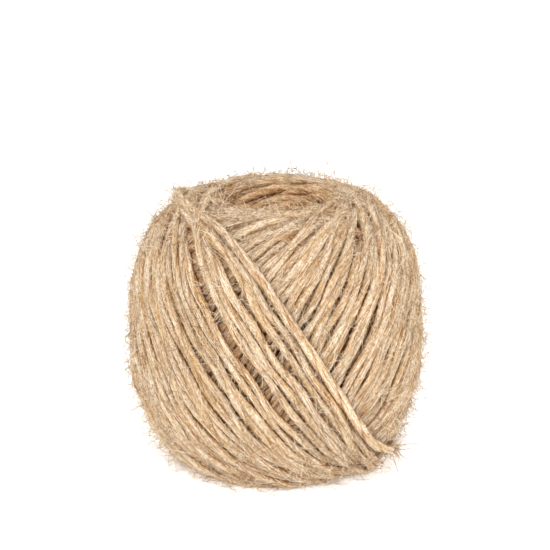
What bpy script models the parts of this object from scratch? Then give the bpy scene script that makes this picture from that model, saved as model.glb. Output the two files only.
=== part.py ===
"""A ball of jute twine, wound on the slant so that every turn misses both ends and leaves a hollow there.

Metres, +Z up.  The ball stands on the pressed ring around its lower hollow, and the origin is the middle of
that ring.  The wound twine is one solid, and the free end of the twine is a cord that lies on it.
"""
import math
import bpy
import numpy as np

# The ball
BALL_RADIUS = 0.0386            # mean radius of the wound form half way up
SQUARENESS = 2.9                # 2 is a round outline, more is a barrel with full shoulders
CENTRE_HEIGHT = 0.0352          # middle of the ball above the surface it stands on
COLUMNS = 96                    # faces around the ball
OUTLINE_ROWS = 32               # rows of faces down the outside

# The winding: each turn lies in a plane, and the plane steps around the upright axis from turn to turn
TURN_TILT = math.radians(58)    # how far the planes lean up from flat
TURN_LIFT = math.radians(4.5)   # the turns climb nearer the top than the bottom by twice this
LAST_TURN = math.radians(12.5)  # compass angle where the last turn passes lowest, from +X towards +Y
LAYER = 0.0022                  # how much one layer of twine adds to the radius
BANDS = 16                      # broad bands of three or four turns around the ball
BAND_RELIEF = 0.0006            # a band's middle stands up by this, and its edges sink by as much
LAST_EDGE = 0.0040              # the last band stops this far short of the last turn's own middle line
STEP_HALF_WIDTH = 0.0022        # the step at the last band's edge is spread over twice this

# Outline between the two rims, as latitudes seen from the middle of the ball
OUTLINE_TOP = 59.5
OUTLINE_BOTTOM = -52.0

# The pressed ring that the ball stands on
BASE_RING_OUTER = 0.0250
BASE_RING_INNER = 0.0214

# Walls of the hollows: place, latitude from the middle of the ball, distance from it in ball radii
TOP_HOLLOW = (
    ("middle of the floor", 90.0, 0.32),
    ("edge of the floor", 71.0, 0.37),
    ("throat", 67.0, 0.47),
    ("funnel", 65.5, 0.64),
    ("top of the funnel", 66.0, 0.84),
    ("inside of the rim", 67.0, 0.98),
    ("crest of the rim", 64.5, 1.045),
)
BOTTOM_HOLLOW = (
    ("inside of the rim", -60.5, 0.98),
    ("mouth of the funnel", -59.0, 0.80),
    ("funnel", -60.0, 0.62),
    ("edge of the roof", -66.0, 0.47),
    ("middle of the roof", -90.0, 0.40),
)

# The free end of the twine
TWINE = 0.0028
LOOSE_END_POINTS = 26
# Its route: latitude and compass angle in degrees, height of its middle over the mean wound form in metres
LOOSE_END_ROUTE = (
    (14.0, -81.0, 0.0014),
    (8.0, -77.2, 0.0014),
    (0.0, -72.2, 0.0014),
    (-8.0, -67.1, 0.0014),
    (-16.0, -61.5, 0.0014),
    (-23.0, -56.0, 0.0014),
    (-29.0, -49.8, 0.0014),
    (-33.5, -42.0, 0.0015),
    (-36.3, -34.0, 0.0016),
    (-37.8, -28.0, 0.0017),
)


def clear_scene():
    for item in list(bpy.data.objects):
        bpy.data.objects.remove(item, do_unlink=True)


def make_material(name, colour, roughness):
    """A dull, plant-fibre Principled material."""
    material = bpy.data.materials.new(name)
    material.use_nodes = True
    shader = material.node_tree.nodes["Principled BSDF"]
    shader.inputs["Base Color"].default_value = (*colour, 1.0)
    shader.inputs["Roughness"].default_value = roughness
    shader.inputs["Metallic"].default_value = 0.0
    return material


def smooth_step(low, high, value):
    """0 below low, 1 above high, and an S curve between."""
    share = np.clip((value - low) / (high - low), 0.0, 1.0)
    return share * share * (3.0 - 2.0 * share)


def outline(latitude):
    """Radius of the mean wound form at a latitude: |cos|^n and |sin|^n add up to one over radius^n."""
    across = np.abs(np.cos(latitude)) ** SQUARENESS
    upward = np.abs(np.sin(latitude)) ** SQUARENESS
    return BALL_RADIUS * (across + upward) ** (-1.0 / SQUARENESS)


def half_turn(latitude):
    """Compass angle between a turn's lowest point and where it crosses a latitude, 0 to pi."""
    rise = math.sin(TURN_LIFT) - np.sin(latitude) * math.cos(TURN_TILT)
    reach = np.maximum(np.cos(latitude), 1e-6) * math.sin(TURN_TILT)
    return np.arccos(np.clip(rise / reach, -1.0, 1.0))


def hollow_profile(table):
    """Rows of a hollow's table as (distance from the axis, height above the middle of the ball)."""
    angles = [math.radians(row[1]) for row in table]
    distances = [BALL_RADIUS * row[2] for row in table]
    return [(d * math.cos(a), d * math.sin(a)) for a, d in zip(angles, distances)]


def ball_profile():
    """Half section of the ball: up out of the top hollow, down the outside, and into the lower hollow."""
    profile = hollow_profile(TOP_HOLLOW)
    for angle in np.radians(np.linspace(OUTLINE_TOP, OUTLINE_BOTTOM, OUTLINE_ROWS)):
        radius = float(outline(angle))
        profile.append((radius * math.cos(angle), radius * math.sin(angle)))
    profile.append((BASE_RING_OUTER, -CENTRE_HEIGHT))
    profile.append((BASE_RING_INNER, -CENTRE_HEIGHT))
    profile.extend(hollow_profile(BOTTOM_HOLLOW))
    profile[0] = (0.0, profile[0][1])
    profile[-1] = (0.0, profile[-1][1])
    return profile


def turned_mesh(profile, name):
    """The profile turned about Z by a Screw modifier, as a plain mesh."""
    section = bpy.data.meshes.new(name + "_section")
    points = [(x, 0.0, z) for x, z in profile]
    section.from_pydata(points, [(i, i + 1) for i in range(len(points) - 1)], [])
    blank = bpy.data.objects.new(name + "_section", section)
    bpy.context.scene.collection.objects.link(blank)
    screw = blank.modifiers.new("Turned", 'SCREW')
    screw.angle = 2.0 * math.pi
    screw.steps = COLUMNS
    screw.render_steps = COLUMNS
    screw.use_merge_vertices = True
    screw.merge_threshold = 0.00005
    graph = bpy.context.evaluated_depsgraph_get()
    mesh = bpy.data.meshes.new_from_object(blank.evaluated_get(graph), depsgraph=graph)
    mesh.name = name
    bpy.data.objects.remove(blank, do_unlink=True)
    return mesh


def winding_relief(points):
    """Height that the bands of turns add to each point, given from the middle of the ball.

    The last turn parts the ball in two.  On one side the turns that climb to the left lie on top, and on the
    other those that climb to the right.  Each side is highest where it was wound last, and falls by one layer
    on its way around, so there is a step of one layer along the last turn.
    """
    distance = np.maximum(np.linalg.norm(points, axis=1), 1e-9)
    latitude = np.arcsin(np.clip(points[:, 2] / distance, -1.0, 1.0))
    compass = np.arctan2(points[:, 1], points[:, 0])
    half = half_turn(latitude)
    behind = np.mod(LAST_TURN - compass, 2.0 * math.pi)
    centred = np.mod(LAST_TURN - compass + math.pi, 2.0 * math.pi) - math.pi

    facing = np.cos(latitude) * np.cos(compass - LAST_TURN) * math.sin(TURN_TILT)
    facing = facing + np.sin(latitude) * math.cos(TURN_TILT) - math.sin(TURN_LIFT)
    aside = facing * distance
    right_share = smooth_step(-LAST_EDGE - STEP_HALF_WIDTH, -LAST_EDGE + STEP_HALF_WIDTH, aside)

    at_seam = smooth_step(0.8 * math.pi, math.pi, np.abs(centred))
    left_step = 1.0 - behind / math.pi
    right_step = -centred / math.pi * (1.0 - at_seam)
    step = left_step * (1.0 - right_share) + right_step * right_share
    left_band = np.cos(BANDS * (compass + half))
    right_band = np.cos(BANDS * (compass - half))
    band = left_band * (1.0 - right_share) + right_band * right_share

    outside = smooth_step(0.75, 1.0, distance / outline(latitude))
    above_base = smooth_step(math.radians(OUTLINE_BOTTOM), math.radians(-38.0), latitude)
    off_rims = 1.0 - smooth_step(math.radians(44.0), math.radians(56.0), latitude)
    return outside * above_base * (LAYER * step + BAND_RELIEF * band * off_rims)


def make_wound_ball(collection, material):
    """The wound twine: a turned barrel with a hollow at each end, raised into its slanting bands."""
    mesh = turned_mesh(ball_profile(), "wound_twine")
    flat = np.empty(len(mesh.vertices) * 3)
    mesh.vertices.foreach_get("co", flat)
    points = flat.reshape(-1, 3)
    distance = np.maximum(np.linalg.norm(points, axis=1), 1e-9)
    points = points * (1.0 + winding_relief(points) / distance)[:, None]
    points[:, 2] += CENTRE_HEIGHT
    mesh.vertices.foreach_set("co", points.ravel())
    mesh.update()
    mesh.shade_smooth()
    mesh.materials.clear()
    mesh.materials.append(material)
    ball = bpy.data.objects.new("wound_twine", mesh)
    collection.objects.link(ball)
    return ball


def route_point(latitude, compass, height):
    """A point of the loose end's route, from its table row."""
    up = math.radians(latitude)
    around = math.radians(compass)
    radius = float(outline(up)) + height
    x = radius * math.cos(up) * math.cos(around)
    y = radius * math.cos(up) * math.sin(around)
    return np.array((x, y, CENTRE_HEIGHT + radius * math.sin(up)))


def smooth_route(knots, count):
    """Evenly spaced points on the Catmull-Rom curve through the knots."""
    knots = np.asarray(knots)
    ends = np.vstack((2.0 * knots[0] - knots[1], knots, 2.0 * knots[-1] - knots[-2]))
    share = np.linspace(0.0, 1.0, 24, endpoint=False)[:, None]
    fine = []
    for a, b, c, d in zip(ends, ends[1:], ends[2:], ends[3:]):
        cubic = (3.0 * (b - c) + d - a) * share ** 3
        square = (2.0 * a - 5.0 * b + 4.0 * c - d) * share ** 2
        fine.append(0.5 * (2.0 * b + (c - a) * share + square + cubic))
    fine = np.vstack(fine + [knots[-1:]])
    along = np.concatenate(((0.0,), np.cumsum(np.linalg.norm(np.diff(fine, axis=0), axis=1))))
    stops = np.linspace(0.0, along[-1], count)
    return np.stack([np.interp(stops, along, fine[:, i]) for i in range(3)], axis=1)


def make_loose_end(collection, material):
    """The free end of the twine: a round cord lying on the ball, down to its blunt cut."""
    knots = [route_point(*row) for row in LOOSE_END_ROUTE]
    points = smooth_route(knots, LOOSE_END_POINTS)
    curve = bpy.data.curves.new("loose_end", 'CURVE')
    curve.dimensions = '3D'
    curve.bevel_depth = 0.5 * TWINE
    curve.bevel_resolution = 2
    curve.use_fill_caps = True
    spline = curve.splines.new('POLY')
    spline.points.add(len(points) - 1)
    for point, place in zip(spline.points, points):
        point.co = (*place, 1.0)
    curve.materials.append(material)
    cord = bpy.data.objects.new("loose_end", curve)
    collection.objects.link(cord)
    return cord


clear_scene()
parts = bpy.data.collections.new("ball_of_twine")
bpy.context.scene.collection.children.link(parts)
make_wound_ball(parts, make_material("wound_jute", (0.64, 0.45, 0.27), 0.85))
make_loose_end(parts, make_material("jute_cord", (0.68, 0.49, 0.30), 0.85))
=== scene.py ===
"""Looks of the ball of jute twine: the turns that show, those in both hollows, the free end and the hairs.

Metres, +Z up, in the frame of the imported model.  The ball stands on z = 0.
"""
import math

import bpy
import numpy as np
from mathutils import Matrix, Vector


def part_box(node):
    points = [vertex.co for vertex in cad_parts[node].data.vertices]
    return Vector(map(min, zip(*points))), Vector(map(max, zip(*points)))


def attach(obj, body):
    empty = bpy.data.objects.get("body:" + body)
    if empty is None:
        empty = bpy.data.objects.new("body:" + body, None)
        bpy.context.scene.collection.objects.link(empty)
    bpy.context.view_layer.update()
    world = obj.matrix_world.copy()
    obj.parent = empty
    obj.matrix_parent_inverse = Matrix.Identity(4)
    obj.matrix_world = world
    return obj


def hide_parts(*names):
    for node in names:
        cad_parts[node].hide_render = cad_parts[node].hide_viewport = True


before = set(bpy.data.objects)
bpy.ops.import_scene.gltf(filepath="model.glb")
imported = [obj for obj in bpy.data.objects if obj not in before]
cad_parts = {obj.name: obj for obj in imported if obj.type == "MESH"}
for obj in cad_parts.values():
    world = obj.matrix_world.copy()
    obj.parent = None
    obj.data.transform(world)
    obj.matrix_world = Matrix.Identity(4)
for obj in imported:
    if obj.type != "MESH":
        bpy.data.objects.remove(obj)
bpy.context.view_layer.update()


# ------------------------------------------------------------------------------
# The inner windings.  Under the turns that show, the ball is a mass of older twine, painted dark brown as the
# shade in the gaps.
# It is one turned body a little smaller than the ball, with the walls of both hollows.
# ------------------------------------------------------------------------------
ball_low, ball_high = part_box("wound_twine")
MEAN_SHARE = 0.495  # mean radius as a share of the ball's width, which its bands of turns add to
BALL_RADIUS = MEAN_SHARE * (ball_high.x - ball_low.x)  # mean radius of the wound form half way up
SQUARENESS = 2.9  # 2 is a round outline, more is a barrel with full shoulders
CENTRE_HEIGHT = 0.0352  # middle of the ball above the surface it stands on
INNER_DEPTH = 0.0038  # the inner windings lie this far under the mean wound form
INNER_TOP = 60.0  # latitudes between which they follow the ball's outline
INNER_BOTTOM = -53.0
INNER_COLUMNS = 96
INNER_OUTLINE_ROWS = 36
# Painted shade: the browns of the twine seen deep in the gaps
PAINTED_GAP_SHADE_DARK = (0.21, 0.105, 0.040)
PAINTED_GAP_SHADE_LIGHT = (0.42, 0.25, 0.11)
WARM_SHEEN = (1.0, 0.78, 0.52, 1.0)
DULL_SPECULAR = 0.10
WALL_OF_MAP = 0.95  # height of the UV map that the turned wall fills, with its end caps above it
CAP_OF_MAP = 0.02  # radius of an end cap on the map
CAP_PLACES = ((0.3, 0.975), (0.7, 0.975))
# Walls behind the turns in the hollows: place, latitude from the middle of the ball, distance in ball radii
TOP_WALL = (
    ("middle of the floor", 89.9, 0.29),
    ("edge of the floor", 69.0, 0.34),
    ("throat", 63.0, 0.47),
    ("funnel", 62.0, 0.64),
    ("top of the funnel", 62.5, 0.84),
    ("under the rim", 62.5, 0.93),
)
LOWER_WALL = (
    ("under the rim", -53.5, 0.92),
    ("mouth of the funnel", -54.5, 0.80),
    ("funnel", -56.0, 0.62),
    ("edge of the roof", -63.0, 0.45),
    ("middle of the roof", -89.9, 0.37),
)


def outline(latitude):
    """Radius of the mean wound form at a latitude: |cos|^n and |sin|^n add up to one over radius^n."""
    across = np.abs(np.cos(latitude)) ** SQUARENESS
    upward = np.abs(np.sin(latitude)) ** SQUARENESS
    return BALL_RADIUS * (across + upward) ** (-1.0 / SQUARENESS)


def new_mesh_piece(name, points, quads, caps, material, uv, attributes=()):
    """A closed mesh from whole arrays: points (n, 3), quads (m, 4), end caps (k, sides), and a UV per corner.

    attributes are (name, kind, values) rows with one value per point.  Sides are smooth and caps are flat.
    """
    mesh = bpy.data.meshes.new(name)
    corners = np.concatenate((quads.ravel(), caps.ravel())).astype(np.int32)
    starts = np.concatenate((
        np.arange(len(quads)) * 4,
        len(quads) * 4 + np.arange(len(caps)) * caps.shape[1],
    )).astype(np.int32)
    mesh.vertices.add(len(points))
    mesh.vertices.foreach_set("co", points.astype(np.float32).ravel())
    mesh.loops.add(len(corners))
    mesh.loops.foreach_set("vertex_index", corners)
    mesh.polygons.add(len(starts))
    mesh.polygons.foreach_set("loop_start", starts)
    mesh.update(calc_edges=True)
    smooth = np.ones(len(starts), dtype=bool)
    smooth[len(quads):] = False
    mesh.polygons.foreach_set("use_smooth", smooth)
    layer = mesh.uv_layers.new(name="OFBake")
    layer.uv.foreach_set("vector", uv.astype(np.float32).ravel())
    for label, kind, values in attributes:
        attribute = mesh.attributes.new(label, kind, 'POINT')
        attribute.data.foreach_set("vector" if kind == 'FLOAT_VECTOR' else "value",
                                   values.astype(np.float32).ravel())
    mesh.materials.append(material)
    piece = bpy.data.objects.new(name, mesh)
    bpy.context.scene.collection.objects.link(piece)
    return piece


def node(tree, kind, **values):
    """A shader node with its properties and unlinked inputs set by name."""
    made = tree.nodes.new(kind)
    for key, value in values.items():
        if key in made.inputs:
            made.inputs[key].default_value = value
        else:
            setattr(made, key, value)
    return made


def blank_material(name, roughness, sheen):
    """A Principled material, its node tree and its shader, with the values that are the same all over."""
    material = bpy.data.materials.new(name)
    material.use_nodes = True
    tree = material.node_tree
    shader = tree.nodes["Principled BSDF"]
    shader.inputs["Roughness"].default_value = roughness
    shader.inputs["Sheen Weight"].default_value = sheen
    shader.inputs["Sheen Roughness"].default_value = 0.5
    shader.inputs["Sheen Tint"].default_value = WARM_SHEEN
    shader.inputs["Specular IOR Level"].default_value = DULL_SPECULAR
    return material, tree, shader


def ramp(tree, source, stops):
    """A colour ramp fed by source, with (place, colour) stops."""
    made = tree.nodes.new("ShaderNodeValToRGB")
    tree.links.new(source, made.inputs["Fac"])
    elements = made.color_ramp.elements
    while len(elements) < len(stops):
        elements.new(0.5)
    for element, (place, colour) in zip(elements, stops):
        element.position = place
        element.color = (*colour, 1.0)
    return made.outputs["Color"]


def shaded_twine_material():
    """Old twine deep in the gaps: browns of painted shade, in blotches a few millimetres wide, with a rough
    bump.
    """
    material, tree, shader = blank_material("shaded_twine", 0.95, 0.0)
    place = tree.nodes.new("ShaderNodeTexCoord")
    blotches = node(tree, "ShaderNodeTexNoise", Scale=420.0, Detail=3.0)
    tree.links.new(place.outputs["Object"], blotches.inputs["Vector"])
    colour = ramp(tree, blotches.outputs["Fac"], ((0.3, PAINTED_GAP_SHADE_DARK), (0.7, PAINTED_GAP_SHADE_LIGHT)))
    tree.links.new(colour, shader.inputs["Base Color"])
    bump = node(tree, "ShaderNodeBump", Strength=0.5, Distance=0.0004)
    tree.links.new(blotches.outputs["Fac"], bump.inputs["Height"])
    tree.links.new(bump.outputs["Normal"], shader.inputs["Normal"])
    return material


def inner_profile():
    """Half section of the inner windings, as (distance from the axis, height) from top to bottom."""
    def wall(table):
        angle = np.radians([row[1] for row in table])
        distance = BALL_RADIUS * np.array([row[2] for row in table])
        return np.stack((distance * np.cos(angle), distance * np.sin(angle)), axis=1)
    angle = np.radians(np.linspace(INNER_TOP, INNER_BOTTOM, INNER_OUTLINE_ROWS))
    radius = outline(angle) - INNER_DEPTH
    outside = np.stack((radius * np.cos(angle), radius * np.sin(angle)), axis=1)
    return np.concatenate((wall(TOP_WALL), outside, wall(LOWER_WALL)))


def make_inner_windings():
    """The half section turned about the upright axis: x = r cos a, y = r sin a, with both ends capped."""
    profile = inner_profile()
    rows, columns = len(profile), INNER_COLUMNS
    around = np.arange(columns) * 2.0 * math.pi / columns
    points = np.stack((
        profile[:, :1] * np.cos(around),
        profile[:, :1] * np.sin(around),
        np.repeat(profile[:, 1:] + CENTRE_HEIGHT, columns, axis=1),
    ), axis=-1).reshape(-1, 3)
    row, column = np.meshgrid(np.arange(rows - 1), np.arange(columns), indexing='ij')
    first = row * columns + column
    after = row * columns + (column + 1) % columns
    quads = np.stack((first, first + columns, after + columns, after), axis=-1).reshape(-1, 4)
    caps = np.stack((np.arange(columns), (rows - 1) * columns + np.arange(columns)[::-1]))
    left, top = column / columns, WALL_OF_MAP * row / (rows - 1)
    right, low = (column + 1) / columns, WALL_OF_MAP * (row + 1) / (rows - 1)
    uv = np.stack((left, top, left, low, right, low, right, top), axis=-1).reshape(-1, 2)
    circle = CAP_OF_MAP * np.stack((np.cos(around), np.sin(around)), axis=-1)
    uv = np.concatenate((uv, circle + CAP_PLACES[0], circle[::-1] + CAP_PLACES[1]))
    return new_mesh_piece("inner_windings", points, quads, caps, shaded_twine_material(), uv)


inner_windings = make_inner_windings()
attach(inner_windings, "root")
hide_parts("wound_twine")


# ------------------------------------------------------------------------------
# The turns that show.  The ball is one length of two-ply jute, wound in slanting turns that step around the
# upright axis.  The last cycle covers the ball twice, and each turn lies over the older ones it crosses.
# ------------------------------------------------------------------------------
TURN_TILT = math.radians(58)  # how far the planes of the turns lean up from flat
TURN_LIFT = math.radians(4.5)  # the turns climb nearer the top than the bottom by twice this
LAST_TURN = math.radians(12.5)  # compass angle where the last turn passes lowest, from +X towards +Y
LAST_PLACE = math.radians(-103.7)  # place in the last turn where the loose end begins, from its lowest point
LAYER = 0.0022  # how much one layer of twine adds to the radius
TURNS = 80  # turns of one cycle around the ball
RINGS_PER_TURN = 132
TURN_GROUPS = 12  # the cycle is made as this many pieces
TWINE = 0.0028  # thickness of the twine
WOUND_TWINE = 0.0024  # its thickness where it is pressed into the ball
TWINE_SINK = 0.0011  # the middle of a turn that shows lies this far under the wound form
TWIST_PITCH = 0.0240  # length in which the plies go once around each other
GROOVE = 0.84  # half thickness in the groove between the plies, as a share of the whole
CREST_POWER = 0.7  # less than one makes the crest of a ply broad
PLY_COLUMNS = (-90.0, -68.0, -42.0, -14.0, 14.0, 42.0, 68.0)  # degrees across one ply, from its groove
TURN_BLEND = math.radians(13)  # at its highest and lowest a turn dips by a layer over twice this
TURNING_LEVEL = 0.55  # share of the rise and fall of the layers that is lost where turns crowd
# Wider gaps between bundles of turns: after this many turns, degrees added, share that closes on the way down
WIDE_GAPS = ((2, 2.6, 0.90), (5, 3.8, 0.35), (9, 1.4, 0.3), (17, 0.9, 0.0), (26, 1.2, 0.3), (33, 1.6, 0.5),
             (41, 1.0, 0.0), (48, 1.4, 0.4), (57, 1.0, 0.3), (64, 1.6, 0.5), (71, 1.2, 0.2))
GAP_OPENS = (0.3, 0.7)  # a gap opens between these shares of the next turn
GAPS_CLOSE = (math.radians(-122), math.radians(-74))  # places between which it closes on the way down
GAPS_REOPEN = (0.0, 0.7)  # and opens again on the way up

# Unevenness of the winding: how much, then its shortest and longest wave (m) and its seed
PLACE_WANDER = math.radians(0.56)
PLACE_WAVES = (0.016, 0.30, 11)
RIM_WAVES = (0.08, 0.5, 12)
HEIGHT_WANDER = 0.00016
HEIGHT_WAVES = (0.012, 0.10, 13)
THICKNESS_WANDER = 0.09
THICKNESS_WAVES = (0.03, 0.3, 21)
FINE_WANDER = 0.055
FINE_WAVES = (0.009, 0.03, 22)
TWIST_WANDER = 0.5
TWIST_WAVES = (0.03, 0.3, 23)
GOLDEN_STEP = 0.618  # turns differ by this share of a wave from one to the next, and never repeat
SLOWER_STEP = 0.2764
RIM_SPREAD_TOP = math.radians(4.6)  # the turns miss the ends of the ball by more or less
RIM_SPREAD_LOW = math.radians(2.4)
RIM_SHARES = (0.7, 0.3)  # parts of that which change from turn to turn, and which wander
RANK_SHARES = (0.62, 0.38)  # parts of a turn's rank in the crowd from the golden and the slower step
CROWDING_LIFT = 0.00115  # where the turns crowd, some ride this far over or under the rest
CROWDED_FROM = 0.3  # sine of the place under which the crowding grows no more
CROWDING_MOST = 1.2

# The turns laid last
SETTLING = 0.08  # share of a turn before the loose end over which the twine gets out of the ball
RISE_TO_LOOSE_END = 0.14  # and over which it rises to the loose end
LOOSE_START_HEIGHT = 0.0014  # height of the loose end's middle over the mean form where it begins
LAST_BUNDLES = 7.0  # the last turns cross the top at a lower slant, which fades over this many
LAST_SWING = math.radians(8.0)  # how much lower their highest points are
LAST_EVENNESS = 0.6  # share of the unevenness that they lose there
LAST_SHOULDER_LIFT = 0.0008  # and how far they ride over the others
LAST_TURNS = 2.0  # about this many turns stand proud of the others all round
LAST_TURNS_LIFT = 0.0005

# Where the ball is fuller or flatter than the even form: latitude, compass angle, reach (degrees), height (m)
LOPSIDED = (
    ("full left shoulder", 59.0, -176.0, 16.0, 0.0012),
    ("low rim behind it", 64.0, 140.0, 17.0, -0.0014),
    ("low rim at the back right", 62.0, 50.0, 13.0, -0.0004),
    ("full under the loose end", -35.0, -35.0, 10.0, 0.0012),
    ("full below the loose end", -45.0, -33.0, 9.0, 0.0010),
)
LOWER_FLANK_DRAW = 0.0013  # the flanks draw in by this above the base
FLANK_DRAW_FROM = (-0.25, -0.50)  # sines of the latitudes where that begins and is full
FLANK_DRAW_TO = (-0.95, -0.70)  # and where it is over and still full
FLOOR_SOFTNESS = 0.0003  # how gently the lowest turns are pressed level
LOWEST_SURFACE = 0.00002  # no twine reaches lower than this over the surface the ball stands on

# How the twine's surface is shaded
RIM_BARED = 0.90  # how far the sides of the turns are open to the light at the upper rim
COVERED_SHADE = 0.36  # how much painted shade browns the twine where later turns lie over it
COVERED = (0.05, -0.25)  # angles from the edge of the cycle between which later turns cover it
SIDE_SHADE_COSINES = (0.35, -0.20)  # a turn's side gets browner painted shade between these cosines from its outermost line
FIBRE_GRAIN = 0.0070  # length of one streak of fibre
FIBRES_AROUND = 4.6  # radius of the twine in the streaks' own measure
FIBRE_LAY = 0.85  # the streaks follow this share of the twist
STREAK_RELIEF = 0.0004
NAP_RELIEF = 0.0003

# How the twine lies on its UV map: where a row starts and how much it fills, along and across
GROUP_MAP_ROWS = 14
MAP_ALONG = (0.001, 0.998)
MAP_ACROSS = (0.05, 0.9)
MAP_CAPS = (0.4, 0.2)  # most radius of an end cap there, in row heights and in shares of its own width


def smooth_step(low, high, value):
    """0 below low, 1 above high, and an S curve between."""
    share = np.clip((value - low) / (high - low), 0.0, 1.0)
    return share * share * (3.0 - 2.0 * share)


def wander(along, shortest, longest, seed, waves=11):
    """Smooth uneven values of about one: a sum of sine waves of random length and start."""
    chance = np.random.default_rng(seed)
    lengths = np.exp(chance.uniform(math.log(shortest), math.log(longest), waves))
    starts = chance.uniform(0.0, 2.0 * math.pi, waves)
    heights = chance.uniform(0.6, 1.0, waves)
    total = sum(h * np.sin(2.0 * math.pi * along / l + s) for h, l, s in zip(heights, lengths, starts))
    return total / math.sqrt(0.5 * float(np.sum(heights ** 2)))


def steady(vectors):
    """The vectors at a length of one."""
    return vectors / np.linalg.norm(vectors, axis=-1, keepdims=True)


def turn_direction(place, lowest, tilt):
    """Direction from the middle of the ball: a small circle tilted up, at its lowest where place is zero.

    It is u cos(place) + v sin(place), with u down the tilted plane and v level, raised by the lift along the
    plane's own axis.
    """
    low = np.stack((np.cos(tilt) * np.cos(lowest), np.cos(tilt) * np.sin(lowest), -np.sin(tilt)), axis=-1)
    level = np.stack((-np.sin(lowest), np.cos(lowest), np.zeros_like(lowest)), axis=-1)
    axis = np.stack((np.sin(tilt) * np.cos(lowest), np.sin(tilt) * np.sin(lowest), np.cos(tilt)), axis=-1)
    circle = low * np.cos(place)[..., None] + level * np.sin(place)[..., None]
    return circle * math.cos(TURN_LIFT) + axis * math.sin(TURN_LIFT)


def form_normal(direction):
    """Outward normal of the wound form: the gradient of |across|^n + |height|^n."""
    across = np.linalg.norm(direction[..., :2], axis=-1, keepdims=True)
    level = direction[..., :2] * across ** (SQUARENESS - 2.0)
    height = direction[..., 2:] * np.abs(direction[..., 2:]) ** (SQUARENESS - 2.0)
    return steady(np.concatenate((level, height), axis=-1))


def lopsided_height(direction):
    """Height to add in each direction: the drawn-in flanks, and a bell curve around each row's own spot."""
    rise = direction[..., 2]
    total = -LOWER_FLANK_DRAW * smooth_step(*FLANK_DRAW_FROM, rise) * smooth_step(*FLANK_DRAW_TO, rise)
    for place, latitude, compass, reach, fullness in LOPSIDED:
        up, around = math.radians(latitude), math.radians(compass)
        middle = np.array((math.cos(up) * math.cos(around), math.cos(up) * math.sin(around), math.sin(up)))
        angle = np.arccos(np.clip(direction @ middle, -1.0, 1.0))
        total = total + fullness * np.exp(-(angle / math.radians(reach)) ** 2)
    return total


def above_floor(points):
    """Middle lines kept half a thickness up by a smooth maximum: half of a + b + sqrt((a - b)^2 + s^2)."""
    height = points[..., 2]
    lowest = 0.5 * TWINE
    kept = 0.5 * (height + lowest + np.sqrt((height - lowest) ** 2 + FLOOR_SOFTNESS ** 2))
    return np.concatenate((points[..., :2], kept[..., None]), axis=-1)


def laid_planes(turns_ago, place, rough_length, settled, last_over_top):
    """How far each ring's plane has been stepped past, its lowest compass angle, and its tilt."""
    spare = math.radians(sum(extra for after, extra, closing in WIDE_GAPS))
    age = (2.0 * math.pi - spare) * turns_ago / TURNS
    lower_half = smooth_step(*GAPS_CLOSE, place) * (1.0 - smooth_step(*GAPS_REOPEN, place))
    for after, extra, closing in WIDE_GAPS:
        opened = math.radians(extra) * (1.0 - closing * lower_half)
        age = age + opened * smooth_step(after + GAP_OPENS[0], after + GAP_OPENS[1], turns_ago)
    lowest = LAST_TURN - age + settled * PLACE_WANDER * wander(rough_length, *PLACE_WAVES)

    spread = np.where(np.abs(place) > 0.5 * math.pi, RIM_SPREAD_TOP, RIM_SPREAD_LOW)
    uneven = (RIM_SHARES[0] * np.sin(2.0 * math.pi * GOLDEN_STEP * turns_ago)
              + RIM_SHARES[1] * wander(rough_length, *RIM_WAVES))
    tilt = TURN_TILT + settled * spread * np.cos(place) ** 4 * uneven * (1.0 - LAST_EVENNESS * last_over_top)
    return age, lowest, tilt - LAST_SWING * last_over_top


def laid_height(turns_ago, place, rough_length, settled, age, flat_angle):
    """Height of each ring's middle over the even wound form.

    A turn rises by one layer along each half and dives by one layer at its highest and lowest points, and the
    whole cycle lies lower the longer ago it was wound.
    """
    climbed = np.where(place > 0.0, flat_angle, 1.0 - flat_angle)
    for turning in (-math.pi, 0.0, math.pi):
        past = smooth_step(turning - TURN_BLEND, turning + TURN_BLEND, place)
        climbed = climbed - past + (place >= turning)
    near_turning = np.cos(place) ** 4
    crowding = 1.0 / np.maximum(np.abs(np.sin(place)), CROWDED_FROM) - 1.0
    rank = (RANK_SHARES[0] * np.sin(2.0 * math.pi * GOLDEN_STEP * turns_ago + 1.0)
            + RANK_SHARES[1] * np.sin(2.0 * math.pi * SLOWER_STEP * turns_ago))
    height = LAYER * (climbed - age / math.pi) * (1.0 - TURNING_LEVEL * near_turning) - TWINE_SINK
    height = height + settled * CROWDING_LIFT * np.minimum(crowding, CROWDING_MOST) * rank
    height = height + settled * HEIGHT_WANDER * wander(rough_length, *HEIGHT_WAVES)
    return height + LAST_TURNS_LIFT * (1.0 - near_turning) * np.exp(-turns_ago / LAST_TURNS)


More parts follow.
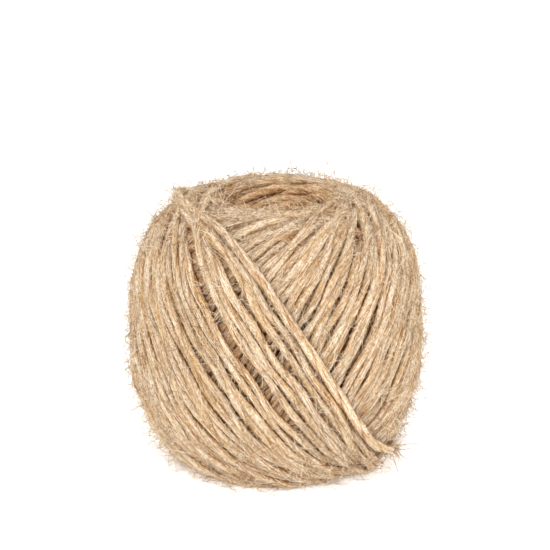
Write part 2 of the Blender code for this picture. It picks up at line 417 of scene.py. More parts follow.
def wound_length():
    """Middle line of the last cycle from its oldest ring to the loose end, and the way each ring faces.

    With them come three shares: how far a ring is pressed in, covered by later turns, and bared at the rim.
    """
    turns_ago = np.linspace(TURNS, 0.0, TURNS * RINGS_PER_TURN + 1)
    place = LAST_PLACE - 2.0 * math.pi * turns_ago
    place = np.mod(place + math.pi, 2.0 * math.pi) - math.pi
    rough_length = -turns_ago * 2.0 * math.pi * BALL_RADIUS
    settled = smooth_step(0.0, SETTLING, turns_ago)
    upper_half = np.abs(place) > 0.5 * math.pi
    last_over_top = (1.0 - smooth_step(0.0, LAST_BUNDLES, turns_ago)) * np.cos(place) ** 6 * upper_half
    age, lowest, tilt = laid_planes(turns_ago, place, rough_length, settled, last_over_top)
    direction = turn_direction(place, lowest, tilt)

    flat_angle = np.arctan2(math.cos(TURN_LIFT) * np.sin(np.abs(place)),
                            math.cos(TURN_LIFT) * math.cos(TURN_TILT) * np.cos(place)
                            + math.sin(TURN_LIFT) * math.sin(TURN_TILT)) / math.pi
    height = laid_height(turns_ago, place, rough_length, settled, age, flat_angle)
    height = height + lopsided_height(direction) + LAST_SHOULDER_LIFT * last_over_top
    rising = 1.0 - smooth_step(0.0, RISE_TO_LOOSE_END, turns_ago)
    height = height + (LOOSE_START_HEIGHT - height[-1]) * rising

    outward = form_normal(direction)
    centre = direction * outline(np.arcsin(direction[:, 2]))[:, None] + outward * height[:, None]
    centre[:, 2] += CENTRE_HEIGHT
    on_top = 2.0 * math.pi * np.where(place > 0.0, flat_angle, 1.0 - flat_angle) - age
    covered = smooth_step(*COVERED, on_top)
    bared = RIM_BARED * np.cos(place) ** 6 * upper_half
    return above_floor(centre), outward, settled, covered, bared


def carried(centre, outward):
    """Tangent, sideways and outward directions along middle lines (strands, rings, 3)."""
    tangent = steady(np.gradient(centre, axis=-2))
    side = steady(np.cross(tangent, outward))
    return tangent, side, np.cross(side, tangent)


def length_along(centre):
    """Distance along each middle line to each ring."""
    steps = np.linalg.norm(np.diff(centre, axis=-2), axis=-1)
    return np.concatenate((np.zeros(steps.shape[:-1] + (1,)), np.cumsum(steps, axis=-1)), axis=-1)


def tube_points(centre, side, up, radius, angle):
    """Rings around middle lines (strands, rings, 3): centre + radius (up cos(angle) + side sin(angle))."""
    return (centre[:, :, None, :]
            + (radius * np.cos(angle))[..., None] * up[:, :, None, :]
            + (radius * np.sin(angle))[..., None] * side[:, :, None, :])


def tube_faces(strands, rings, columns):
    """Side quads and end caps of closed tubes, and the strand, ring and column where each quad starts."""
    strand, ring, column = np.meshgrid(np.arange(strands), np.arange(rings - 1), np.arange(columns),
                                       indexing='ij')
    first = strand * rings * columns + ring * columns
    beside = (column + 1) % columns
    quads = np.stack((first + column, first + beside, first + columns + beside, first + columns + column),
                     axis=-1).reshape(-1, 4)
    start = np.arange(strands)[:, None] * rings * columns
    order = np.arange(columns)
    caps = np.concatenate((start + order[::-1], start + (rings - 1) * columns + order))
    return quads, caps, strand, ring, column


def make_twine(name, centre, side, up, along, half, twist, rows, material, covered=0.0, bared=0.0):
    """Twisted two-ply twine along middle lines (strands, rings, 3), as one mesh of closed tubes, with painted
    shade on its sides.

    The section's radius is half the thickness times GROOVE + (1 - GROOVE) |cos|^CREST_POWER of the angle from
    a ply's crest, and the section turns with the twist.  rows is how many rows of the UV map a strand fills,
    covered is 1 where later turns lie over the twine, and bared is 1 where its sides are open to the light.
    """
    strands, rings = centre.shape[:2]
    across = np.radians(np.concatenate((PLY_COLUMNS, np.add(PLY_COLUMNS, 180.0))))
    columns = len(across)
    section = GROOVE + (1.0 - GROOVE) * np.abs(np.cos(across)) ** CREST_POWER
    angle = across + twist[..., None]
    points = tube_points(centre, side, up, half[..., None] * section, angle)
    points[..., 2] = np.maximum(points[..., 2], LOWEST_SURFACE)
    quads, caps, strand, ring, column = tube_faces(strands, rings, columns)

    per_row = -(-(rings - 1) // rows)
    row_height = 1.0 / (strands * rows + 1)
    row = strand * rows + ring // per_row
    left = (ring % per_row) / per_row * MAP_ALONG[1] + MAP_ALONG[0]
    right = (ring % per_row + 1) / per_row * MAP_ALONG[1] + MAP_ALONG[0]
    low = (row + MAP_ACROSS[0] + MAP_ACROSS[1] * column / columns) * row_height
    high = (row + MAP_ACROSS[0] + MAP_ACROSS[1] * (column + 1) / columns) * row_height
    uv = np.stack((left, low, left, high, right, high, right, low), axis=-1).reshape(-1, 2)
    cap_size = min(MAP_CAPS[0] * row_height, MAP_CAPS[1] / strands)
    spot = np.stack((np.cos(across), np.sin(across)), axis=-1) * cap_size
    middle = np.stack(((np.arange(2 * strands) + 0.5) / (2 * strands),
                       np.full(2 * strands, 1.0 - 0.5 * row_height)), axis=-1)
    uv = np.concatenate((uv, (middle[:, None, :] + spot).reshape(-1, 2)))

    lay = across + FIBRE_LAY * twist[..., None]
    fibre = np.stack((np.repeat(along[..., None] / FIBRE_GRAIN, columns, axis=-1),
                      FIBRES_AROUND * np.cos(lay), FIBRES_AROUND * np.sin(lay)), axis=-1)
    # Depth in the groove between the plies, which sets the painted shade there
    groove = np.broadcast_to((1.0 - section) / (1.0 - GROOVE), angle.shape)
    # Painted shade on the sides: less where they are bared at the rim, at least COVERED_SHADE where later
    # turns cover them
    flank_shade = smooth_step(*SIDE_SHADE_COSINES, np.cos(angle)) * (1.0 - np.asarray(bared)[..., None])
    flank_shade = np.maximum(flank_shade, COVERED_SHADE * np.asarray(covered)[..., None])
    attributes = (("fibre", 'FLOAT_VECTOR', fibre.reshape(-1, 3)), ("groove", 'FLOAT', groove.reshape(-1)),
                  ("flank_shade", 'FLOAT', flank_shade.reshape(-1)))
    return new_mesh_piece(name, points.reshape(-1, 3), quads, caps, material, uv, attributes)


def noise_along(tree, fibre, stretch, shift=(0.0, 0.0, 0.0), **settings):
    """Noise over the fibre coordinates times stretch, plus shift."""
    moved = node(tree, "ShaderNodeVectorMath", operation='MULTIPLY_ADD')
    moved.inputs[1].default_value = stretch
    moved.inputs[2].default_value = shift
    tree.links.new(fibre, moved.inputs[0])
    made = node(tree, "ShaderNodeTexNoise", Scale=1.0, **settings)
    tree.links.new(moved.outputs["Vector"], made.inputs["Vector"])
    return made.outputs["Fac"]


def multiplied(tree, first, second):
    """The product of two colours."""
    made = node(tree, "ShaderNodeMixRGB", blend_type='MULTIPLY', Fac=1.0)
    tree.links.new(first, made.inputs["Color1"])
    tree.links.new(second, made.inputs["Color2"])
    return made.outputs["Color"]


def jute_material(name, dark, straw, pale, bright, rust):
    """Jute twine: long streaks of pale and brown fibre, rusty flecks, painted shade in its grooves and on its
    sides, and nap.

    The fibre attribute grows by one in FIBRE_GRAIN along the twine, and in a third of a millimetre around it.
    """
    material, tree, shader = blank_material(name, 0.9, 0.02)
    link = tree.links.new
    fibre = node(tree, "ShaderNodeAttribute", attribute_name="fibre").outputs["Vector"]
    groove = node(tree, "ShaderNodeAttribute", attribute_name="groove").outputs["Fac"]
    flank_shade = node(tree, "ShaderNodeAttribute", attribute_name="flank_shade").outputs["Fac"]
    streaks = noise_along(tree, fibre, (1.0, 1.0, 1.0), Detail=6.0, Roughness=0.68, Distortion=0.25)
    tones = noise_along(tree, fibre, (0.45, 0.16, 0.16), Detail=2.0)
    flecks = noise_along(tree, fibre, (1.3, 0.8, 0.8), (31.0, 17.0, 5.0), Detail=2.0)
    speckle = noise_along(tree, fibre, (8.0, 1.6, 1.6), Detail=2.0, Roughness=0.6)

    colour = ramp(tree, streaks, ((0.34, dark), (0.43, straw), (0.53, pale), (0.70, bright)))
    colour = multiplied(tree, colour, ramp(tree, tones, TONES))
    flecked = node(tree, "ShaderNodeMixRGB", blend_type='MIX', Color2=(*rust, 1.0))
    link(ramp(tree, flecks, FLECKS), flecked.inputs["Fac"])
    link(colour, flecked.inputs["Color1"])
    colour = multiplied(tree, flecked.outputs["Color"], ramp(tree, speckle, SPECKLES))
    colour = multiplied(tree, colour, ramp(tree, groove, GROOVE_PAINTED_SHADE))
    colour = multiplied(tree, colour, ramp(tree, flank_shade, FLANK_PAINTED_SHADE))
    link(colour, shader.inputs["Base Color"])

    bump = node(tree, "ShaderNodeBump", Strength=1.0, Distance=STREAK_RELIEF)
    link(streaks, bump.inputs["Height"])
    nap = node(tree, "ShaderNodeBump", Strength=0.7, Distance=NAP_RELIEF)
    link(speckle, nap.inputs["Height"])
    link(bump.outputs["Normal"], nap.inputs["Normal"])
    link(nap.outputs["Normal"], shader.inputs["Normal"])
    return material


# What each pattern multiplies the jute's colour by, and how far the flecks turn it to rust
WHITE = (1.0, 1.0, 1.0)
TONES = ((0.34, (0.84, 0.70, 0.52)), (0.50, (1.0, 0.97, 0.93)), (0.62, WHITE))
FLECKS = ((0.58, (0.0, 0.0, 0.0)), (0.68, (0.8, 0.8, 0.8)))
SPECKLES = ((0.35, (0.45, 0.31, 0.19)), (0.47, WHITE), (0.70, (1.12, 1.16, 1.22)))
# Painted shade: the bottoms of the grooves between the plies are darkened
GROOVE_PAINTED_SHADE = ((0.5, WHITE), (1.0, (0.68, 0.55, 0.42)))
# Painted shade: the sides of the turns are darkened and browned
FLANK_PAINTED_SHADE = ((0.0, WHITE), (0.5, (0.66, 0.49, 0.34)), (1.0, (0.31, 0.17, 0.08)))
JUTE_DARK = (0.25, 0.120, 0.045)
JUTE_STRAW = (0.56, 0.385, 0.220)
JUTE_PALE = (0.76, 0.635, 0.470)
JUTE_BRIGHT = (0.92, 0.85, 0.73)
JUTE_RUST = (0.50, 0.235, 0.085)
wound_jute = jute_material("wound_jute_looks", JUTE_DARK, JUTE_STRAW, JUTE_PALE, JUTE_BRIGHT, JUTE_RUST)

turn_centre, turn_outward, settled, covered, bared = wound_length()
turn_tangent, turn_side, turn_up = carried(turn_centre, turn_outward)
turn_along = length_along(turn_centre)
turn_along = turn_along - turn_along[-1]
uneven = (THICKNESS_WANDER * wander(turn_along, *THICKNESS_WAVES)
          + FINE_WANDER * wander(turn_along, *FINE_WAVES))
turn_half = 0.5 * (TWINE + (WOUND_TWINE - TWINE) * settled) * (1.0 + settled * uneven)
turn_twist = (2.0 * math.pi * turn_along / TWIST_PITCH
              + settled * TWIST_WANDER * wander(turn_along, *TWIST_WAVES))

splits = np.linspace(0, len(turn_centre) - 1, TURN_GROUPS + 1).astype(int)
for number, (start, end) in enumerate(zip(splits, splits[1:])):
    part = slice(start, end + 1)
    turns = make_twine(f"wound_turns_{number + 1:02d}", turn_centre[None, part], turn_side[None, part],
                       turn_up[None, part], turn_along[None, part], turn_half[None, part],
                       turn_twist[None, part], GROUP_MAP_ROWS, wound_jute,
                       covered[None, part], bared[None, part])
    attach(turns, "root")
    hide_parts("wound_twine")


# ------------------------------------------------------------------------------
# The loose end.  The last 53 mm of the twine, not wound in, lies over the turns and thins to its frayed cut.
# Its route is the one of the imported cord, and it begins where the wound turns end.
# ------------------------------------------------------------------------------
LOOSE_END_RINGS = 44
ROUTE_STEPS = 24  # points worked out between two knots of its route
LOOSE_WANDER = 0.04  # how unevenly thick it is
LOOSE_WAVES = (0.01, 0.04, 31)
EVEN_START = 0.010  # length over which that sets in
TIP_TAPER = 0.40  # the twine thins by this share towards the cut, where fibres have come loose
TIP_TAPER_LENGTH = 0.006
# Its route: latitude and compass angle in degrees, height of its middle over the mean wound form in metres
LOOSE_END_ROUTE = (
    (14.0, -81.0, 0.0014),
    (8.0, -77.2, 0.0014),
    (0.0, -72.2, 0.0014),
    (-8.0, -67.1, 0.0014),
    (-16.0, -61.5, 0.0014),
    (-23.0, -56.0, 0.0014),
    (-29.0, -49.8, 0.0014),
    (-33.5, -42.0, 0.0015),
    (-36.3, -34.0, 0.0016),
    (-37.8, -28.0, 0.0017),
)


def loose_end_knots():
    """The route's points: outline radius plus height, at each latitude and compass angle."""
    latitude, compass = np.radians([row[:2] for row in LOOSE_END_ROUTE]).T
    radius = outline(latitude) + np.array([row[2] for row in LOOSE_END_ROUTE])
    return np.stack((radius * np.cos(latitude) * np.cos(compass),
                     radius * np.cos(latitude) * np.sin(compass),
                     radius * np.sin(latitude) + CENTRE_HEIGHT), axis=-1)


def smooth_route(knots, count):
    """Evenly spaced points on the Catmull-Rom curve through the knots."""
    ends = np.vstack((2.0 * knots[0] - knots[1], knots, 2.0 * knots[-1] - knots[-2]))
    share = np.linspace(0.0, 1.0, ROUTE_STEPS, endpoint=False)[None, :, None]
    a, b, c, d = (ends[i:len(ends) - 3 + i, None, :] for i in range(4))
    cubic = (3.0 * (b - c) + d - a) * share ** 3
    square = (2.0 * a - 5.0 * b + 4.0 * c - d) * share ** 2
    fine = 0.5 * (2.0 * b + (c - a) * share + square + cubic)
    fine = np.vstack((fine.reshape(-1, 3), knots[-1:]))
    along = length_along(fine)
    stops = np.linspace(0.0, along[-1], count)
    return np.stack([np.interp(stops, along, fine[:, i]) for i in range(3)], axis=-1)


end_centre = smooth_route(loose_end_knots(), LOOSE_END_RINGS)
end_direction = steady(end_centre - (0.0, 0.0, CENTRE_HEIGHT))
end_tangent, end_side, end_up = carried(end_centre, form_normal(end_direction))
end_along = length_along(end_centre)
end_uneven = LOOSE_WANDER * smooth_step(0.0, EVEN_START, end_along) * wander(end_along, *LOOSE_WAVES)
end_taper = TIP_TAPER * smooth_step(end_along[-1] - TIP_TAPER_LENGTH, end_along[-1], end_along)
end_half = 0.5 * TWINE * (1.0 + end_uneven) * (1.0 - end_taper)
end_twist = 2.0 * math.pi * end_along / TWIST_PITCH
loose_jute = jute_material("jute_cord_looks", JUTE_DARK, JUTE_STRAW, JUTE_PALE, JUTE_BRIGHT, JUTE_RUST)
loose_end = make_twine("loose_twine_end", end_centre[None], end_side[None], end_up[None], end_along[None],
                       end_half[None], end_twist[None], 1, loose_jute)
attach(loose_end, "root")
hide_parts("loose_end")


# ------------------------------------------------------------------------------
# The frayed tip.  The cut end of the twine opens into a short brush of stiff jute fibres.
# Each is a tapered hair with three sides, rooted in the last millimetres of the twine.
# ------------------------------------------------------------------------------
TIP_HAIRS = 170
TIP_SEEDS = (41, 42)
TIP_HAIR_RINGS = 5
TIP_ROOTS = (0.0, 0.0055)  # how far behind the cut they are rooted
TIP_OVERLAP = 0.8  # share of that depth by which they are longer
TIP_REACH = (0.0006, 0.0062)  # how far they reach past it, before a random share is taken off
TIP_REACH_SHARE = (0.3, 1.0)
TIP_HAIR_THICKNESS = (0.00010, 0.00020)
TIP_FAN = 0.5  # how much they lean outwards, to one along the twine
TIP_SCATTER = 0.26  # and at random
TIP_BEND = 0.25
TIP_CURL = 0.10
LOWEST_HAIR = 0.00015  # the middle of no hair is lower than this over the floor
CURL_WAVES = (3.0, 11.0)  # radians that the sine wave of a hair's curl runs through
HAIR_TAPER = 0.8  # share of its thickness that a hair loses by its tip
NUDGE = 0.0001  # keeps a hair's sideways direction from vanishing
TONE_BLOCK = 400.0  # each hair reads its tone from its own spot in a block of noise this wide
TONE_ALONG = 0.6  # and runs through this much of the noise along itself
# A hair's cell of the UV map, in shares of it: edge, length, width of one side, and an end cap's corners
HAIR_MAP_EDGE = 0.1
HAIR_MAP_LENGTH = 0.8
HAIR_MAP_SIDE = 0.2
HAIR_MAP_CAP = ((0.1, 0.75), (0.2, 0.75), (0.1, 0.85))


def make_hairs(name, roots, ways, bends, curl, lengths, thicknesses, rings, material, seed):
    """Tapered three-sided hairs: root + length (share way + share^2 bend), with share from 0 to 1 at the tip.

    A sine wave of curl times the length swings each hair aside.  Every hair has its own cell in the UV map
    and its own spot in the colour noise.
    """
    hairs = len(roots)
    share = np.linspace(0.0, 1.0, rings)[None, :, None]
    long = lengths[:, None, None]
    centre = roots[:, None, :] + long * (share * ways[:, None, :] + share ** 2 * bends[:, None, :])
    chance = np.random.default_rng(seed)
    kink = steady(chance.normal(size=(hairs, 3)))[:, None, :]
    swing = curl * np.sin(share * chance.uniform(*CURL_WAVES, hairs)[:, None, None])
    centre = centre + long * swing * kink
    centre[..., 2] = np.maximum(centre[..., 2], LOWEST_HAIR)
    tangent = steady(np.gradient(centre, axis=1))
    side = steady(np.cross(tangent, kink + NUDGE))
    up = np.cross(side, tangent)
    around = np.arange(3) * 2.0 * math.pi / 3.0
    radius = 0.5 * thicknesses[:, None] * (1.0 - HAIR_TAPER * share[..., 0] ** 3)
    points = tube_points(centre, side, up, radius[..., None], around)
    quads, caps, hair, ring, column = tube_faces(hairs, rings, 3)

    cells = math.ceil(math.sqrt(hairs))
    size = 1.0 / cells
    left = (hair % cells + HAIR_MAP_EDGE + HAIR_MAP_LENGTH * ring / (rings - 1)) * size
    right = left + HAIR_MAP_LENGTH * size / (rings - 1)
    low = (hair // cells + HAIR_MAP_EDGE + HAIR_MAP_SIDE * column) * size
    high = low + HAIR_MAP_SIDE * size
    uv = np.stack((left, low, left, high, right, high, right, low), axis=-1).reshape(-1, 2)
    hair_number = np.concatenate((np.arange(hairs), np.arange(hairs)))
    cell = np.stack((hair_number % cells, hair_number // cells), axis=-1)
    uv = np.concatenate((uv, ((cell[:, None, :] + np.array(HAIR_MAP_CAP)) * size).reshape(-1, 2)))
    spot = np.repeat(chance.uniform(0.0, TONE_BLOCK, (hairs, 1, 3)), rings * 3, axis=1).reshape(-1, 3)
    spot[:, 0] += np.tile(np.repeat(np.linspace(0.0, TONE_ALONG, rings), 3), hairs)
    return new_mesh_piece(name, points.reshape(-1, 3), quads, caps, material, uv,
                          (("fibre", 'FLOAT_VECTOR', spot),))


def hair_material(name, brown, straw, pale):
    """Single jute fibres: each hair has its own tone, from brown through straw to nearly white."""
    material, tree, shader = blank_material(name, 0.8, 0.0)
    fibre = node(tree, "ShaderNodeAttribute", attribute_name="fibre").outputs["Vector"]
    tones = node(tree, "ShaderNodeTexNoise", Scale=1.0, Detail=1.0)
    tree.links.new(fibre, tones.inputs["Vector"])
    colour = ramp(tree, tones.outputs["Fac"], ((0.32, brown), (0.46, straw), (0.62, pale)))
    tree.links.new(colour, shader.inputs["Base Color"])
    return material


HAIR_BROWN = (0.30, 0.16, 0.07)
HAIR_STRAW = (0.60, 0.42, 0.24)
HAIR_PALE = (0.92, 0.82, 0.66)
hair_jute = hair_material("loose_fibres", HAIR_BROWN, HAIR_STRAW, HAIR_PALE)
# Fibres that stand off the ball and at the cut: partly real brown fibre, partly painted shade, as they are
# seen against the light
brown_and_shaded_hair = hair_material("brown_and_shaded_fibres", (0.20, 0.10, 0.045), (0.42, 0.27, 0.15), (0.82, 0.70, 0.52))
# Painted shade: the fibres in the top hollow are a darker, warmer copy of the loose fibres
hollow_shaded_hair = hair_material("hollow_shaded_fibres", HAIR_BROWN, (0.55, 0.34, 0.165), (0.78, 0.60, 0.38))


def make_frayed_tip():
    """A brush of fibres out of the cut end, fanned by up to half their length."""
    chance = np.random.default_rng(TIP_SEEDS[0])
    back = chance.uniform(*TIP_ROOTS, TIP_HAIRS)
    angle = chance.uniform(0.0, 2.0 * math.pi, TIP_HAIRS)
    reach = 0.5 * TWINE * (1.0 - TIP_TAPER) * np.sqrt(chance.uniform(0.0, 1.0, TIP_HAIRS))
    off = (np.cos(angle) * reach)[:, None] * end_up[-1] + (np.sin(angle) * reach)[:, None] * end_side[-1]
    roots = end_centre[-1] - back[:, None] * end_tangent[-1] + off
    scatter = TIP_SCATTER * chance.normal(size=(TIP_HAIRS, 3))
    ways = steady(end_tangent[-1] + off / (0.5 * TWINE) * TIP_FAN + scatter)
    bends = TIP_BEND * chance.normal(size=(TIP_HAIRS, 3))
    past_cut = chance.uniform(*TIP_REACH, TIP_HAIRS) * chance.uniform(*TIP_REACH_SHARE, TIP_HAIRS)
    thicknesses = chance.uniform(*TIP_HAIR_THICKNESS, TIP_HAIRS)
    return make_hairs("frayed_tip", roots, ways, bends, TIP_CURL, TIP_OVERLAP * back + past_cut, thicknesses,
                      TIP_HAIR_RINGS, brown_and_shaded_hair, TIP_SEEDS[1])


frayed_tip = make_frayed_tip()
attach(frayed_tip, "root")


# ------------------------------------------------------------------------------
# The turns in the two hollows.  Older turns pass closest to the ends of the ball layer under layer, and their
# tops and bottoms line the hollows as rows of nearly level strands.
# ------------------------------------------------------------------------------
# Name, distances of the innermost and outermost rows in ball radii, rows, strands in each, wall behind them,
# whether it is the upper hollow, seed
HOLLOWS = (
    ("top_hollow_turns", (0.40, 1.02), 12, 13, TOP_WALL, True, 51),
    ("lower_hollow_turns", (0.47, 0.93), 8, 8, LOWER_WALL, False, 52),
)
HOLLOW_REACH = math.radians(42)  # how much of each turn is made, either side of its nearest point
HOLLOW_RINGS = 17
ROW_SCATTER = 0.022  # how unevenly the strands of a row lie, in ball radii
STRAND_SCATTER = 0.3  # and around the hollow, in their spacing
HOLLOW_LEAN = (0.02, 0.09)  # a strand leans this much more than the wall, in radians
HOLLOW_SAG = 0.035  # both ends of an arc lie nearer the middle of the ball by this share
HOLLOW_SLOPE = (0.03, 0.15)  # and one end by this share again
HOLLOW_DEPTH = (0.0026, 0.0024)  # an arc stays this far under the wound form, its ends by the second more
HOLLOW_FACING = (-0.7, -0.7, 1.0)  # inwards and along the axis, out of the hollow; it keeps the painted side shade on the strands' hidden side
HOLLOW_WANDER = 0.08  # how unevenly thick the strands are
HOLLOW_WAVES = (0.02, 0.2)
HOLLOW_START = (0.0, 9.0)  # each strand shows another stretch of the twine, by a random length
# The twine in the hollows is a darker, warmer brown, painted as the shade deep in them
hollow_shaded_jute = jute_material("hollow_shaded_jute_looks", (0.23, 0.105, 0.036), (0.50, 0.305, 0.150),
                            (0.70, 0.50, 0.31), (0.84, 0.66, 0.46), JUTE_RUST)


def hollow_strands(span, rows, per_row, wall, upper, seed):
    """Middle lines (strands, rings, 3) of short arcs of older turns around a hollow, and the way they face.

    The row at a distance leans so that it just touches the hollow's wall there.
    """
    chance = np.random.default_rng(seed)
    count = rows * per_row
    distance = np.repeat(np.linspace(span[0], span[1], rows), per_row)
    distance = np.minimum(distance + chance.uniform(-ROW_SCATTER, ROW_SCATTER, count), span[1])
    table = sorted((row[2], abs(row[1])) for row in wall)
    wall_latitude = np.radians(np.interp(distance, [row[0] for row in table], [row[1] for row in table]))
    tilt = wall_latitude + chance.uniform(*HOLLOW_LEAN, count) + (-TURN_LIFT if upper else TURN_LIFT)
    strand = np.tile(np.arange(per_row), rows) + chance.uniform(-STRAND_SCATTER, STRAND_SCATTER, count)
    lowest = strand * 2.0 * math.pi / per_row + np.repeat(chance.uniform(0.0, 2.0 * math.pi, rows), per_row)
    nearest = math.pi if upper else 0.0
    reach = np.linspace(-HOLLOW_REACH, HOLLOW_REACH, HOLLOW_RINGS) + nearest
    place = np.broadcast_to(reach, (count, HOLLOW_RINGS))
    direction = turn_direction(place, np.broadcast_to(lowest[:, None], place.shape),
                               np.broadcast_to(tilt[:, None], place.shape))
    fall = (place - nearest) / HOLLOW_REACH
    slope = chance.uniform(*HOLLOW_SLOPE, count)[:, None]
    form = outline(np.arcsin(direction[..., 2]))
    radius = BALL_RADIUS * distance[:, None] * (1.0 - HOLLOW_SAG * fall ** 2 - slope * fall)
    radius = np.minimum(radius, form - HOLLOW_DEPTH[0] - HOLLOW_DEPTH[1] * fall ** 2)
    radius = radius + lopsided_height(direction) * (radius / form) ** 4
    centre = direction * radius[..., None]
    centre[..., 2] += CENTRE_HEIGHT
    return above_floor(centre), steady(direction * HOLLOW_FACING)


for name, span, rows, per_row, wall, upper, seed in HOLLOWS:
    hollow_centre, hollow_outward = hollow_strands(span, rows, per_row, wall, upper, seed)
    hollow_tangent, hollow_side, hollow_up = carried(hollow_centre, hollow_outward)
    starts = np.random.default_rng(seed + 10).uniform(*HOLLOW_START, len(hollow_centre))[:, None]
    hollow_along = length_along(hollow_centre) + starts
    hollow_uneven = HOLLOW_WANDER * wander(hollow_along, *HOLLOW_WAVES, seed + 20)
    hollow_half = 0.5 * TWINE * (1.0 + hollow_uneven)
    hollow_turns = make_twine(name, hollow_centre, hollow_side, hollow_up, hollow_along, hollow_half,
                              2.0 * math.pi * hollow_along / TWIST_PITCH, 1, hollow_shaded_jute)
    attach(hollow_turns, "root")
    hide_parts("wound_twine")
    if upper:
        top_hollow = (hollow_centre.reshape(-1, 3), hollow_tangent.reshape(-1, 3), hollow_side.reshape(-1, 3),
                      hollow_up.reshape(-1, 3), hollow_half.ravel())


# ------------------------------------------------------------------------------
# The fuzz.  Jute sheds short fibres: most lie along the twine, some cross it, and some stand off and curl.
# Each is a tapered hair with three sides, rooted on a turn that shows.
# ------------------------------------------------------------------------------
# Kind, how many, rings, shortest and longest (m), thinnest and thickest (m), how much they go along, aside
# and out, how much they bend and curl, their material, and whether they grow in the top hollow
FUZZ = (
    ("lying_fibres", 9000, 3, (0.0014, 0.0050), (0.00006, 0.00012), (1.0, 0.45, 0.10), 0.25, 0.04,
     hair_jute, False),
    ("crossing_fibres", 7400, 5, (0.0020, 0.0085), (0.00006, 0.00012), (0.55, 0.85, 0.28), 0.70, 0.16,
     hair_jute, False),
    ("standing_fibres", 3800, 9, (0.0026, 0.0150), (0.00007, 0.00015), (0.80, 0.80, 0.75), 0.80, 0.28,
     brown_and_shaded_hair, False),
    ("hollow_shaded_fibres", 1500, 6, (0.0030, 0.0100), (0.00007, 0.00014), (0.70, 0.80, 0.45), 0.80, 0.16,
     hollow_shaded_hair, True),
    ("straggling_fibres", 260, 12, (0.0055, 0.0120), (0.00013, 0.00021), (0.70, 0.80, 0.85), 0.55, 0.26,
     brown_and_shaded_hair, False),
)
FARTHEST_HAIR = 0.0120  # no hair ends farther than this from its root
BARE_UNDER = 0.6  # hairs show only on twine that is covered by less than this
ROOT_SPREAD = 0.55  # how far around the twine they are rooted, in radians
ROOT_DEPTH = 0.93  # they start this far out in it
LEAST_RISE = 0.05  # every hair rises at least this much
DROOP = 0.4  # and bends back towards the ball on the whole by this
LENGTH_SPREAD = (1.5, 3.0)  # shape of the beta curve of their lengths: more short ones than long
FUZZ_SEED = 61  # the first kind's seed for its roots and ways, and for its curls
CURL_SEED = 71

shown_rings = np.flatnonzero(covered < BARE_UNDER)
shown_turns = (turn_centre, turn_tangent, turn_side, turn_up, turn_half)
for number, row in enumerate(FUZZ):
    name, count, rings, length, thickness, heading, bend, curl, material, in_hollow = row
    chance = np.random.default_rng(FUZZ_SEED + number)
    if in_hollow:
        ring = chance.choice(top_hollow[0].shape[0], count)
        centre, tangent, aslant, up, half = (values[ring] for values in top_hollow)
    else:
        ring = chance.choice(shown_rings, count)
        centre, tangent, aslant, up, half = (values[ring] for values in shown_turns)
    lean = chance.normal(0.0, ROOT_SPREAD, count)[:, None]
    skin = np.cos(lean) * up + np.sin(lean) * aslant
    level = np.cross(tangent, skin)
    roots = centre + skin * (ROOT_DEPTH * half)[:, None]
    forward, aside, outward = heading
    onward = chance.choice((-1.0, 1.0), count)[:, None]
    ways = steady(onward * forward * tangent + level * chance.normal(0.0, aside, (count, 1))
                  + skin * np.abs(chance.normal(0.0, outward, (count, 1))) + skin * LEAST_RISE)
    bends = bend * (chance.normal(size=(count, 3)) - skin * DROOP)
    lengths = length[0] + (length[1] - length[0]) * chance.beta(*LENGTH_SPREAD, count)
    stretch = np.linalg.norm(ways + bends, axis=1) + curl
    lengths = np.minimum(lengths, FARTHEST_HAIR / stretch)
    fuzz = make_hairs(name, roots, ways, bends, curl, lengths, chance.uniform(*thickness, count), rings,
                      material, CURL_SEED + number)
    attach(fuzz, "root")


# ------------------------------------------------------------------------------
# The floor, the lights and the camera.  A white floor under a wide soft sky and two soft lights.
# ------------------------------------------------------------------------------
CAMERA_DISTANCE = 0.72
CAMERA_RISE = math.radians(17)
FRAME_WIDTH = 0.1453  # how wide the view is at the ball's middle
AIM_ABOVE = 0.01453  # the view's middle lies this far over the ball's, square to the view
AIM_LEFT = 0.00026
FLOOR_REACH = 6.0  # half the width of the floor
FLOOR_GLOW = 0.44  # the floor is lit from below, so that shadows on it stay faint
BOARD_DULL = (0.90, 0.90, 0.90)
BOARD_BRIGHT = (0.92, 0.92, 0.92)
SKY_STRENGTH = 0.90
# Name, place, size (m), power (W)
LIGHTS = (
    ("key_light", (-0.50, -1.05, 0.85), 0.36, 13.8),
    ("fill_light", (0.95, -0.75, 0.60), 0.6, 8.0),
)


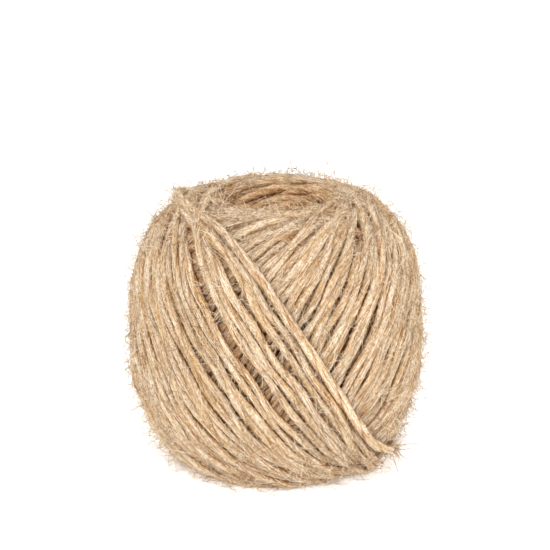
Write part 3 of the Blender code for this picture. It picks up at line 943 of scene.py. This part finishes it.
def floor_material():
    """Matt white board with a faint grain."""
    material, tree, shader = blank_material("white_board", 0.9, 0.0)
    place = tree.nodes.new("ShaderNodeTexCoord")
    grain = node(tree, "ShaderNodeTexNoise", Scale=60.0, Detail=2.0)
    tree.links.new(place.outputs["Object"], grain.inputs["Vector"])
    colour = ramp(tree, grain.outputs["Fac"], ((0.3, BOARD_DULL), (0.7, BOARD_BRIGHT)))
    tree.links.new(colour, shader.inputs["Base Color"])
    shader.inputs["Emission Color"].default_value = (1.0, 1.0, 1.0, 1.0)
    shader.inputs["Emission Strength"].default_value = FLOOR_GLOW
    return material


floor_mesh = bpy.data.meshes.new("floor")
floor_corners = [(FLOOR_REACH * x, FLOOR_REACH * y, 0.0) for x, y in ((-1, -1), (1, -1), (1, 1), (-1, 1))]
floor_mesh.from_pydata(floor_corners, [], [(0, 1, 2, 3)])
floor_mesh.materials.append(floor_material())
floor = bpy.data.objects.new("floor", floor_mesh)
bpy.context.scene.collection.objects.link(floor)

sky = bpy.data.worlds.new("white_sky")
sky.use_nodes = True
sky.node_tree.nodes["Background"].inputs["Color"].default_value = (1.0, 1.0, 1.0, 1.0)
sky.node_tree.nodes["Background"].inputs["Strength"].default_value = SKY_STRENGTH
bpy.context.scene.world = sky
bpy.context.scene.view_settings.view_transform = 'Standard'

ball_middle = Vector((0.0, 0.0, CENTRE_HEIGHT))
for name, place, size, power in LIGHTS:
    lamp = bpy.data.lights.new(name, 'AREA')
    lamp.shape = 'SQUARE'
    lamp.size = size
    lamp.energy = power
    light = bpy.data.objects.new(name, lamp)
    light.location = place
    light.rotation_euler = (ball_middle - Vector(place)).to_track_quat('-Z', 'Y').to_euler()
    bpy.context.scene.collection.objects.link(light)

lens = bpy.data.cameras.new("camera")
lens.sensor_width = 36.0
lens.lens = lens.sensor_width * CAMERA_DISTANCE / FRAME_WIDTH
camera = bpy.data.objects.new("camera", lens)
camera.location = (0.0, -CAMERA_DISTANCE * math.cos(CAMERA_RISE),
                   CENTRE_HEIGHT + CAMERA_DISTANCE * math.sin(CAMERA_RISE))
aim = Vector((-AIM_LEFT, AIM_ABOVE * math.sin(CAMERA_RISE),
              CENTRE_HEIGHT + AIM_ABOVE * math.cos(CAMERA_RISE)))
camera.rotation_euler = (aim - camera.location).to_track_quat('-Z', 'Y').to_euler()
bpy.context.scene.collection.objects.link(camera)
bpy.context.scene.camera = camera
